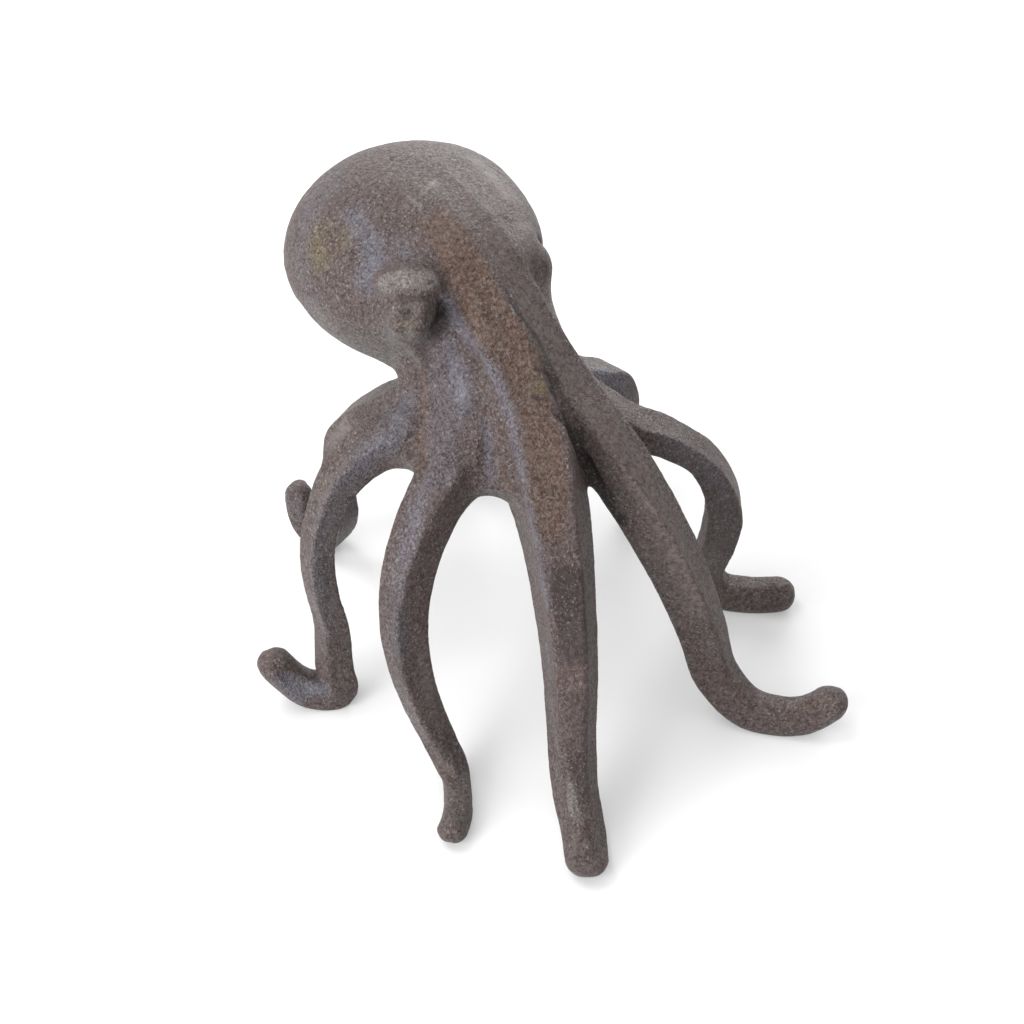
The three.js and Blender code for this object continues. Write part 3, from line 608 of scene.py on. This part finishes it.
def whole_figure(paths):
    """Distance to the figure's skin, before the seam and the screw holes are cut."""
    field = np.full(CELLS, BAND, np.float32)
    win, part = distance_to(*skin(head_rings(0)))
    field[win] = part
    for path in paths.values():
        rings = rings_of(path)
        drop = -SOLE_GRIND - rings[..., 2].min()
        path["centre"][:, 2] += drop
        rings[..., 2] += drop
        join(field, *distance_to(*skin(rings)), ARM_BLEND)
    for one, start_one, end_one, other, start_other, end_other in WEBS:
        web = web_path(paths[one], start_one, end_one, paths[other], start_other, end_other)
        join(field, *distance_to(*skin(rings_of(web, rounding=WEB_ROUNDING))), WEB_BLEND)
    for radius, line in HOLLOWS:
        carve(field, *distance_to(*skin(cord_rings(radius, line))), HOLLOW_BLEND)
    carve(field, *distance_to(*skin(cord_rings(*CRACK))), CRACK_BLEND)
    for radius, line in RIDGES:
        join(field, *distance_to(*skin(cord_rings(radius, line))), RIDGE_BLEND)
    for eye in EYES.values():
        add_eye(field, **eye)
    low = BOX_LOW + (CLEARANCE, CLEARANCE, 0)
    high = BOX_HIGH - CLEARANCE
    for axis, lo, hi in zip(axes_of(tuple(slice(0, n) for n in CELLS)), low, high):
        np.maximum(field, lo - axis, out=field)
        np.maximum(field, axis - hi, out=field)
    win, hollow = distance_to(*skin(head_rings(WALL, below=OPENING)))
    for s in SCREWS.values():
        y0, z0 = section_at(s)[0, :2]
        hollow = np.maximum(hollow, -bar_field(win, BOSS, y0, z0))
    field[win] = np.maximum(field[win], -hollow)
    return field


def sample(field, points):
    """The field's value at points, in straight steps between the voxels."""
    p = points / VOXEL - FIRST
    i = np.clip(np.floor(p).astype(int), 0, CELLS - 2)
    t = (p - i).astype(np.float32)
    flat = field.ravel()
    stride = np.array([CELLS[1] * CELLS[2], CELLS[2], 1])
    base = i @ stride
    value = np.zeros(len(points), np.float32)
    for corner in np.ndindex(2, 2, 2):
        weight = np.prod([t[:, k] if c else 1 - t[:, k] for k, c in enumerate(corner)], 0)
        value += weight * flat[base + np.dot(corner, stride)]
    return value


# Surface

def lattice(i, seed):
    """Even random numbers from -1 to 1 at whole-number places."""
    n = (i[:, 0] * 374761393 + i[:, 1] * 668265263 + i[:, 2] * 1440662683 + seed * 974711) % 2**32
    n = (n ^ (n >> 13)) * 1274126177 % 2**32
    return ((n ^ (n >> 16)) % 65536) / 32767.5 - 1


def noise(points, size, seed):
    """Smooth random bumps about as wide as size."""
    p = points / size
    i = np.floor(p).astype(np.int64)
    t = p - i
    t = t * t * (3 - 2 * t)
    value = np.zeros(len(points))
    for corner in np.ndindex(2, 2, 2):
        weight = np.prod([t[:, k] if c else 1 - t[:, k] for k, c in enumerate(corner)], 0)
        value += weight * lattice(i + np.array(corner), seed)
    return value


def smooth_step(low, high, value):
    t = np.clip((value - low) / (high - low), 0, 1)
    return t * t * (3 - 2 * t)


def bumps(points, layers):
    """Random bumps of several heights and widths on top of each other."""
    return sum(height * noise(points, size, seed) for height, size, seed in layers)


def camera_axes():
    """The camera's right, up and backward directions."""
    back = (math.sin(AZIMUTH) * math.cos(ELEVATION), -math.cos(AZIMUTH) * math.cos(ELEVATION),
            math.sin(ELEVATION))
    right = (math.cos(AZIMUTH), math.sin(AZIMUTH), 0)
    return np.array((right, np.cross(back, right), back))


def places_on(field, pixels):
    """Where the camera sees the figure's skin at some pixels, and whether it does."""
    right, up, back = camera_axes()
    across, down = (pixels.T[:, :, None] - PICTURE / 2) * SENSOR / LENS / PICTURE
    ways = unit(across * right - down * up - back)
    far = (HIGH[2] - CAMERA_PLACE[2]) / ways[:, 2]
    for _ in range(SIGHT_STEPS):
        places = CAMERA_PLACE + far[:, None] * ways
        gap = sample(field, np.clip(places, LOW, HIGH))
        far += np.where(gap > TOUCH, np.clip(SIGHT_SHARE * gap, *SIGHT_STEP), 0)
    return places, gap <= TOUCH


def drawn_patches(field):
    """Each patch's strokes on the skin, patina and painted light and shade alike: how strong, then
    places and half widths in millimetres.
    """
    patches = {}
    for name, strokes in STROKES.items():
        patches[name] = []
        for most, *line in strokes.values():
            line = np.array(line, float)
            places, seen = places_on(field, line[:, :2])
            rows = np.hstack([places, line[:, 2:] * PIXEL])[seen]
            if len(rows):
                patches[name].append((most, rows))
    return patches


def amount_of(points, strokes, soft):
    """How much of a patch, of patina and painted light and shade alike, there is at each point,
    with ragged edges.
    """
    ragged = bumps(points, RAGGED)
    amount = np.zeros(len(points))
    for most, rows in strokes:
        nearest = np.full(len(points), np.inf)
        for start, end in zip(rows, rows[1:] if len(rows) > 1 else rows):
            way = end[:3] - start[:3]
            share = np.clip((points - start[:3]) @ way / max(way @ way, 1e-6), 0, 1)
            off = np.linalg.norm(points - start[:3] - share[:, None] * way, axis=1)
            nearest = np.minimum(nearest, off - start[3] - share * (end[3] - start[3]))
        scale = min(1.0, rows[:, 3].max() / 2)
        value = smooth_step(soft * scale, -soft * scale, nearest + ragged * scale)
        amount = np.maximum(amount, most * value)
    return amount


def new_mesh(name, points, quads, smooth=True):
    mesh = bpy.data.meshes.new(name)
    n, m = len(points), len(quads)
    mesh.vertices.add(n)
    mesh.vertices.foreach_set("co", np.asarray(points, np.float32).ravel())
    mesh.loops.add(4 * m)
    mesh.loops.foreach_set("vertex_index", quads.astype(np.int32).ravel())
    mesh.polygons.add(m)
    mesh.polygons.foreach_set("loop_start", np.arange(0, 4 * m, 4, dtype=np.int32))
    mesh.polygons.foreach_set("use_smooth", np.full(m, smooth))
    mesh.update(calc_edges=True)
    return mesh


def read_points(mesh, what="vertices", key="co"):
    values = np.empty(3 * len(mesh.vertices), np.float32)
    getattr(mesh, what).foreach_get(key, values)
    return values.reshape(-1, 3).astype(float)


def figure_mesh(field, patches):
    """The skin as a mesh in metres, with its cast unevenness."""
    grid = openvdb.FloatGrid(BAND)
    grid.transform = TRANSFORM
    grid.copyFromArray(field, tuple(int(v) for v in FIRST))
    points, quads = grid.convertToQuads(0.0)
    points = points.astype(float)
    mesh = new_mesh("figure", points, quads[:, ::-1])
    normals = read_points(mesh, "vertex_normals", "vector")
    calm = 1 - CALM * amount_of(points, patches["smooth"], SOFTNESS["smooth"])
    swell = bumps(points, SWELL) * (0.5 + 0.5 * calm)
    grain = bumps(points, GRAIN) * calm
    points += normals * ((swell + grain) * smooth_step(*SOLE_EDGE, points[:, 2]))[:, None]
    points = np.clip(points, BOX_LOW + (EDGE_GAP, EDGE_GAP, 0), BOX_HIGH - EDGE_GAP)
    mesh.vertices.foreach_set("co", ((points + SHIFT) / 1000).astype(np.float32).ravel())
    mesh.update()
    return mesh


def link(name, data):
    obj = bpy.data.objects.new(name, data)
    bpy.context.scene.collection.objects.link(obj)
    return obj


def block_mesh(low, high):
    corners = np.array([[x, y, z] for x in (low[0], high[0]) for y in (low[1], high[1])
                        for z in (low[2], high[2])])
    quads = np.array([[0, 1, 3, 2], [4, 6, 7, 5], [0, 4, 5, 1], [2, 3, 7, 6], [0, 2, 6, 4],
                      [1, 5, 7, 3]])
    return new_mesh("block", (corners + SHIFT) / 1000, quads, False)


def turned_mesh(profile, y, z):
    """A closed round body along x, from (x, radius) pairs, the first and last on the axis."""
    turn = np.arange(ROUND_SIDES) / ROUND_SIDES * 2 * math.pi
    rings = np.array([np.stack([np.full(ROUND_SIDES, x), y + r * np.cos(turn),
                                z + r * np.sin(turn)], 1) for x, r in profile[1:-1]])
    points, tris, quads = skin(rings)
    points[-2] = (profile[0][0], y, z)
    points[-1] = (profile[-1][0], y, z)
    mesh = bpy.data.meshes.new("turned")
    mesh.from_pydata(((points + SHIFT) / 1000).tolist(), [], tris.tolist() + quads.tolist())
    return mesh


def bar_mesh(radius, x0, x1, y, z):
    return turned_mesh(((x0, 0), (x0, radius), (x1, radius), (x1, 0)), y, z)


def combined(one, other, operation):
    """The mesh of two solids put together or cut."""
    a, b = link("one", one), link("other", other)
    modifier = a.modifiers.new("cut", "BOOLEAN")
    modifier.operation = operation
    modifier.solver = "MANIFOLD"
    modifier.object = b
    mesh = bpy.data.meshes.new_from_object(a.evaluated_get(bpy.context.evaluated_depsgraph_get()))
    bpy.data.objects.remove(a)
    bpy.data.objects.remove(b)
    return mesh


def half_block(side):
    """The space of one casting: beyond its meeting face, without the screws' bores."""
    room = 200
    ends = sorted((side * SEAM, side * room))
    block = block_mesh((ends[0], -room, -room), (ends[1], room, room))
    for s in SCREWS.values():
        y0, z0, _, half_width, _ = section_at(s)[0]
        seat = half_width - SCREW_SINK
        if side < 0:
            bars = [(SHANK + FIT, -SCREW_GRIP - BORE_SPARE, 1)]
        else:
            bars = [(SHANK + FIT, -1, seat + FIT), (HEAD_RADIUS + FIT, seat, room + 1)]
        for radius, x0, x1 in bars:
            block = combined(block, bar_mesh(radius, x0, x1, y0, z0), "DIFFERENCE")
    return block


def add_finish(mesh, field, patches):
    """Writes what the finish depends on to the mesh: patches, how far faces look up for the painted
    top light, worn ridges with painted highlight, and recesses for painted shade.
    """
    points = read_points(mesh) * 1000 - SHIFT
    normals = read_points(mesh, "vertex_normals", "vector")
    values = {name: amount_of(points, strokes, SOFTNESS[name])
              for name, strokes in patches.items()}
    # How far each face looks up, for the painted light from above on the tops
    values["upward_painted_light"] = smooth_step(*UPWARD_PAINTED_LIGHT, normals[:, 2])
    # Hollows found by feeling outwards get painted shade; ridges found by feeling inwards get wear
    # with painted highlight
    painted_recess_shade = 0
    worn_and_painted_highlight = 0
    for reach in FEELERS:
        painted_recess_shade = painted_recess_shade + np.clip(1 - sample(field, points + normals * reach) / reach, 0, 1)
        worn_and_painted_highlight = worn_and_painted_highlight + np.clip(1 + sample(field, points - normals * reach) / reach, 0, 1)
    values["painted_recess_shade"] = smooth_step(*RECESS_PAINTED_SHADE, painted_recess_shade)
    values["worn_and_painted_highlight"] = smooth_step(*WORN_RIDGE_AND_HIGHLIGHT, worn_and_painted_highlight)
    for name, value in values.items():
        layer = mesh.attributes.new(name, "FLOAT", "POINT")
        layer.data.foreach_set("value", value.astype(np.float32))


# Materials

class Nodes:
    """The nodes of a new material. Inputs given as sockets are linked, and others are set."""

    def __init__(self, name):
        self.material = bpy.data.materials.new(name)
        self.material.use_nodes = True
        self.tree = self.material.node_tree
        self.tree.nodes.clear()

    def add(self, kind, inputs=(), **settings):
        made = self.tree.nodes.new(kind)
        for key, value in settings.items():
            setattr(made, key, value)
        for key, value in dict(inputs).items():
            if isinstance(value, bpy.types.NodeSocket):
                self.tree.links.new(value, made.inputs[key])
            else:
                made.inputs[key].default_value = value
        return made

    def place(self):
        return self.add("ShaderNodeTexCoord").outputs["Object"]

    def amount(self, name):
        return self.add("ShaderNodeAttribute", attribute_name=name).outputs["Fac"]

    def maths(self, operation, *values):
        return self.add("ShaderNodeMath", dict(enumerate(values)), operation=operation).outputs[0]

    def times(self, one, other):
        return self.maths("MULTIPLY", one, other)

    def vectors(self, operation, inputs):
        return self.add("ShaderNodeVectorMath", inputs, operation=operation).outputs[0]

    def spread(self, value, low, high, start=0.0, end=1.0):
        """A value's course from low to high as a soft step from start to end."""
        return self.add("ShaderNodeMapRange", {"Value": value, "From Min": low, "From Max": high,
                                               "To Min": start, "To Max": end},
                        interpolation_type="SMOOTHSTEP").outputs[0]

    def mix(self, factor, one, other):
        return self.add("ShaderNodeMix", {0: factor, 6: one, 7: other},
                        data_type="RGBA").outputs[2]

    def cloud(self, scale, detail, roughness):
        return self.add("ShaderNodeTexNoise", {
            "Vector": self.place(), "Scale": scale, "Detail": detail,
            "Roughness": roughness}).outputs["Fac"]

    def gaps(self, scale, wide, warp):
        """1 on the cells of a warped cell pattern, falling to 0 in the gaps between them."""
        place = self.place()
        shift = self.add("ShaderNodeTexNoise", {"Vector": place, "Scale": scale * 0.8,
                                                "Detail": 2.0}).outputs["Color"]
        moved = self.vectors("SUBTRACT", {0: shift, 1: (0.5, 0.5, 0.5)})
        moved = self.vectors("SCALE", {0: moved, "Scale": warp / scale})
        moved = self.vectors("ADD", {0: place, 1: moved})
        made = self.add("ShaderNodeTexVoronoi", {"Vector": moved, "Scale": scale},
                        feature="DISTANCE_TO_EDGE")
        return self.spread(made.outputs["Distance"], 0.0, wide)

    def finish(self, shader):
        self.add("ShaderNodeOutputMaterial", {"Surface": shader.outputs[0]})
        return self.material


def colour(red, green, blue):
    """A colour from its 0 to 255 display values."""
    return tuple((v / 255) ** 2.2 for v in (red, green, blue)) + (1,)


SIDE_BROWN = colour(98, 76, 68)
SIDE_RED = colour(104, 76, 68)
RED = colour(92, 54, 46)
# Top colours: the tops painted paler, as painted light from above
TOP_GREY_PAINTED_LIGHT = colour(154, 152, 148)
TOP_MAUVE_PAINTED_LIGHT = colour(150, 144, 148)
RUST_DARK = colour(100, 63, 32)
RUST_LIGHT = colour(148, 98, 44)
# Film colour: blue-grey film, and painted highlight
FILM_AND_HIGHLIGHT = colour(152, 158, 182)
OLIVE = colour(164, 152, 70)
# Pale colour: scratches and chips, and painted highlights and glints
PALE_WEAR_AND_HIGHLIGHT = colour(198, 192, 184)
# Worn colour: wear on ridges, and painted highlight along them
WORN_AND_PAINTED_HIGHLIGHT = colour(168, 162, 162)
# Dark colour: the dark joint and ring, and painted shade and shadow
DARK_AND_PAINTED_SHADE = colour(40, 34, 38)
# Dirt colour: dirt in the gaps and pits, and painted shade in the recesses
DIRT_AND_PAINTED_SHADE = colour(44, 34, 34)
# Stains, wear and painted highlights over the rust: the mottling between which they go from least
# to most, and their colour
STAINS = (
    ("film_and_highlight", 0.35, 0.62, 0.5, 1.0, FILM_AND_HIGHLIGHT),
    ("olive", 0.35, 0.62, 0.2, 0.9, OLIVE),
    ("red", 0.3, 0.6, 0.6, 0.95, RED),
    ("pale_wear_and_highlight", 0.35, 0.6, 0.45, 1.0, PALE_WEAR_AND_HIGHLIGHT),
    ("worn_and_painted_highlight", 0.38, 0.62, 0.05, 0.6, WORN_AND_PAINTED_HIGHLIGHT),
)
STEEL = colour(92, 86, 80)
STEEL_RUST = colour(104, 74, 52)

# Patterns of the iron: how many to a metre, detail and roughness of its clouds, and how many to a
# metre, width and warp of the gaps in its pebbled skin and its net of creases
CLOUDS = {
    "broad": (60, 3, 0.6),
    "blotch": (230, 4, 0.6),
    "mottle": (750, 4, 0.7),
    "grain": (1300, 3, 0.75),
    "grit": (1700, 3, 0.8),
}
GAPS = {"pebbles": (620, 0.16, 2.2), "creases": (190, 0.04, 2.5)}
SPECKS = 520
RELIEF = 0.00034  # height of the iron's finest relief, in metres
RELIEF_SHARES = {"pebbles": 0.3, "grain": 1.8, "mottle": 0.8, "grit": 1.4}


def iron_patterns(nodes):
    """The patterns that the iron's colour and relief are made of, by name."""
    made = {name: nodes.cloud(*values) for name, values in CLOUDS.items()}
    made.update((name, nodes.gaps(*values)) for name, values in GAPS.items())
    specks = nodes.add("ShaderNodeTexVoronoi", {"Vector": nodes.place(), "Scale": SPECKS})
    specks = nodes.spread(specks.outputs["Distance"], 0.26, 0.12)
    made["specks"] = nodes.times(specks, nodes.spread(made["blotch"], 0.42, 0.58))
    rough = nodes.maths("SUBTRACT", 1.0, nodes.times(nodes.amount("smooth"), 0.8))
    made["rough"] = nodes.times(rough, nodes.spread(made["blotch"], 0.3, 0.55, 0.6, 1.0))
    return made


def iron_stained(nodes, patterns, rust):
    """The iron's ground colour, its tops painted paler as painted light from above, under its rust,
    stains, wear and painted highlights, with dark joints and painted shade in its dark patches and
    recesses.
    """
    half = nodes.spread(patterns["broad"], 0.35, 0.65)
    brown = nodes.mix(half, SIDE_BROWN, SIDE_RED)
    painted_lit_grey = nodes.mix(half, TOP_GREY_PAINTED_LIGHT, TOP_MAUVE_PAINTED_LIGHT)
    blotch = nodes.spread(patterns["blotch"], 0.3, 0.7, -0.2, 0.2)
    # Upward faces painted paler: painted light from above
    base = nodes.mix(nodes.maths("ADD", nodes.amount("upward_painted_light"), blotch), brown, painted_lit_grey)
    mottle = patterns["mottle"]
    base = nodes.mix(rust, base, nodes.mix(nodes.spread(mottle, 0.36, 0.66), RUST_DARK, RUST_LIGHT))
    for name, low, high, least, most, tint in STAINS:
        share = nodes.times(nodes.amount(name), nodes.spread(mottle, low, high, least, most))
        base = nodes.mix(share, base, tint)
    # Dark strokes: dark joint and ring, and painted shade and shadow
    base = nodes.mix(nodes.times(nodes.amount("dark_and_painted_shade"), 0.85), base, DARK_AND_PAINTED_SHADE)
    # Recesses darkened: painted shade
    return nodes.mix(nodes.times(nodes.amount("painted_recess_shade"), 0.6), base, DIRT_AND_PAINTED_SHADE)


def iron_dirt(nodes, patterns):
    """Dirt in the gaps, pits, creases and specks."""
    dirt = nodes.times(nodes.maths("SUBTRACT", 1.0, patterns["pebbles"]),
                       nodes.spread(patterns["mottle"], 0.4, 0.6, 0.0, 0.6))
    pits = nodes.spread(patterns["grain"], 0.47, 0.37)
    dirt = nodes.times(nodes.maths("MAXIMUM", dirt, pits), patterns["rough"])
    dirt = nodes.maths("MAXIMUM", dirt, nodes.maths("SUBTRACT", 0.7, patterns["creases"]))
    return nodes.maths("MAXIMUM", dirt, patterns["specks"])


def iron_relief(nodes, patterns):
    """The fine relief, lower on the smooth patches, with its creases."""
    height = 0.0
    for name, share in RELIEF_SHARES.items():
        height = nodes.maths("ADD", height, nodes.times(patterns[name], share))
    lowered = nodes.maths("ADD", nodes.times(patterns["rough"], 0.85), 0.15)
    height = nodes.times(height, lowered)
    height = nodes.maths("ADD", height, nodes.times(patterns["creases"], 0.3))
    return nodes.add("ShaderNodeBump", {"Height": height, "Strength": 1.0, "Distance": RELIEF})


def iron_material():
    nodes = Nodes("cast_iron_patina")
    patterns = iron_patterns(nodes)
    mottle = patterns["mottle"]
    rust = nodes.times(nodes.amount("rust"), nodes.spread(mottle, 0.3, 0.55, 0.75, 1.0))
    dirt = iron_dirt(nodes, patterns)
    base = nodes.mix(nodes.times(dirt, 0.8), iron_stained(nodes, patterns, rust), DIRT_AND_PAINTED_SHADE)
    clean = nodes.maths("SUBTRACT", patterns["rough"], nodes.times(rust, 0.6))
    # Pale flecks on the grain's peaks: painted glints
    painted_glints = nodes.times(nodes.spread(patterns["grain"], 0.56, 0.68), clean)
    base = nodes.mix(nodes.times(painted_glints, 0.3), base, PALE_WEAR_AND_HIGHLIGHT)
    rough = nodes.maths("ADD", nodes.spread(mottle, 0.3, 0.7, 0.34, 0.52), nodes.times(dirt, 0.2))
    return nodes.finish(nodes.add("ShaderNodeBsdfPrincipled", {
        "Base Color": base, "Roughness": rough, "Metallic": 0.1, "Specular IOR Level": 0.36,
        "Normal": iron_relief(nodes, patterns).outputs[0]}))


def screw_material():
    nodes = Nodes("darkened_steel")
    place = nodes.place()
    stain = nodes.add("ShaderNodeTexNoise", {"Vector": place, "Scale": 700, "Detail": 5})
    grain = nodes.add("ShaderNodeTexNoise", {"Vector": place, "Scale": 3800, "Detail": 3})
    share = nodes.add("ShaderNodeMapRange", {"Value": stain.outputs["Fac"], "From Min": 0.42,
                                             "From Max": 0.62}).outputs[0]
    metal = nodes.add("ShaderNodeMapRange", {"Value": share, "To Min": 0.9, "To Max": 0.2})
    rough = nodes.add("ShaderNodeMapRange", {"Value": share, "To Min": 0.36, "To Max": 0.7})
    bump = nodes.add("ShaderNodeBump", {"Height": grain.outputs["Fac"], "Strength": 0.3,
                                        "Distance": 0.0001})
    return nodes.finish(nodes.add("ShaderNodeBsdfPrincipled", {
        "Base Color": nodes.mix(share, STEEL, STEEL_RUST), "Metallic": metal.outputs[0],
        "Roughness": rough.outputs[0], "Normal": bump.outputs[0]}))


def floor_material():
    nodes = Nodes("floor")
    seen = nodes.add("ShaderNodeLightPath").outputs["Is Camera Ray"]
    matt = nodes.add("ShaderNodeBsdfDiffuse", {"Color": (FLOOR_GREY, FLOOR_GREY, FLOOR_GREY, 1)})
    glow = nodes.add("ShaderNodeEmission", {"Color": (1, 1, 1, 1),
                                            "Strength": nodes.times(seen, FLOOR_GLOW)})
    return nodes.finish(nodes.add("ShaderNodeAddShader", {0: matt.outputs[0],
                                                          1: glow.outputs[0]}))


# Pieces

def screw_mesh(s):
    """A slotted cheese head with a broken edge, on its shank."""
    y, z, _, half_width, _ = section_at(s)[0]
    under = half_width - SCREW_SINK + FIT
    top = under + HEAD_HEIGHT
    edge = BROKEN_EDGE
    profile = ((-SCREW_GRIP, 0), (-SCREW_GRIP, SHANK - edge), (-SCREW_GRIP + edge, SHANK),
               (under, SHANK), (under, HEAD_RADIUS - 0.1), (under + 0.1, HEAD_RADIUS),
               (top - edge, HEAD_RADIUS), (top - 0.12, HEAD_RADIUS - edge * 0.7),
               (top, HEAD_RADIUS - edge * 1.6), (top, 0))
    length = HEAD_RADIUS + FIT
    turn = Matrix.Rotation(math.radians(SLOT_TURN), 4, "X")
    slot = block_mesh((-SLOT_DEPTH, -SLOT_WIDTH / 2, -length), (SLOT_DEPTH, SLOT_WIDTH / 2, length))
    offset = Vector(SHIFT) / 1000
    slot.transform(Matrix.Translation(Vector((top, y, z)) / 1000 + offset) @ turn
                   @ Matrix.Translation(-offset))
    return combined(turned_mesh(profile, y, z), slot, "DIFFERENCE")


def place_piece(name, mesh, material, node):
    mesh.materials.clear()
    mesh.materials.append(material)
    mesh.set_sharp_from_angle(angle=SHARP_ANGLE)
    piece = link(name, mesh)
    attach(piece, "root")
    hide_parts(node)


field = whole_figure({name: arm_path(arm) for name, arm in ARMS.items()})
patches = drawn_patches(field)
figure = figure_mesh(field, patches)
iron = iron_material()
for half, side in (("left", -1), ("right", 1)):
    mesh = combined(figure.copy(), half_block(side), "INTERSECT")
    add_finish(mesh, field, patches)
    place_piece(half + "_casting", mesh, iron, half + "_half_casting")
steel = screw_material()
for name, s in SCREWS.items():
    place_piece(name + "_dressed", screw_mesh(s), steel, name)


# Floor, light and camera

def floor_mesh():
    mesh = bpy.data.meshes.new("floor")
    corners = [(x * FLOOR_SIZE, y * FLOOR_SIZE, 0) for x, y in ((-1, -1), (1, -1), (1, 1), (-1, 1))]
    mesh.from_pydata(corners, [], [(0, 1, 2, 3)])
    mesh.materials.append(floor_material())
    return mesh


def disk_lamp(name, at, target, size, power):
    lamp = bpy.data.lights.new(name, "AREA")
    lamp.shape = "DISK"
    lamp.size = size
    lamp.energy = power
    obj = link(name, lamp)
    obj.location = at
    obj.rotation_euler = (Vector(target) - Vector(at)).to_track_quat("-Z", "Y").to_euler()


link("floor", floor_mesh())
world = bpy.data.worlds.new("studio")
bpy.context.scene.world = world
world.use_nodes = True
world.node_tree.nodes["Background"].inputs["Color"].default_value = (1, 1, 1, 1)
world.node_tree.nodes["Background"].inputs["Strength"].default_value = SKY_LIGHT
for name, lamp in LAMPS.items():
    disk_lamp(name, *lamp)

lens = bpy.data.cameras.new("camera")
lens.lens = LENS
lens.sensor_width = SENSOR
camera = link("camera", lens)
turned = Matrix(camera_axes().tolist()).transposed().to_4x4()
turned.translation = Vector(CAMERA_PLACE + SHIFT) / 1000
camera.matrix_world = turned
bpy.context.scene.camera = camera
bpy.context.scene.view_settings.view_transform = "Standard"
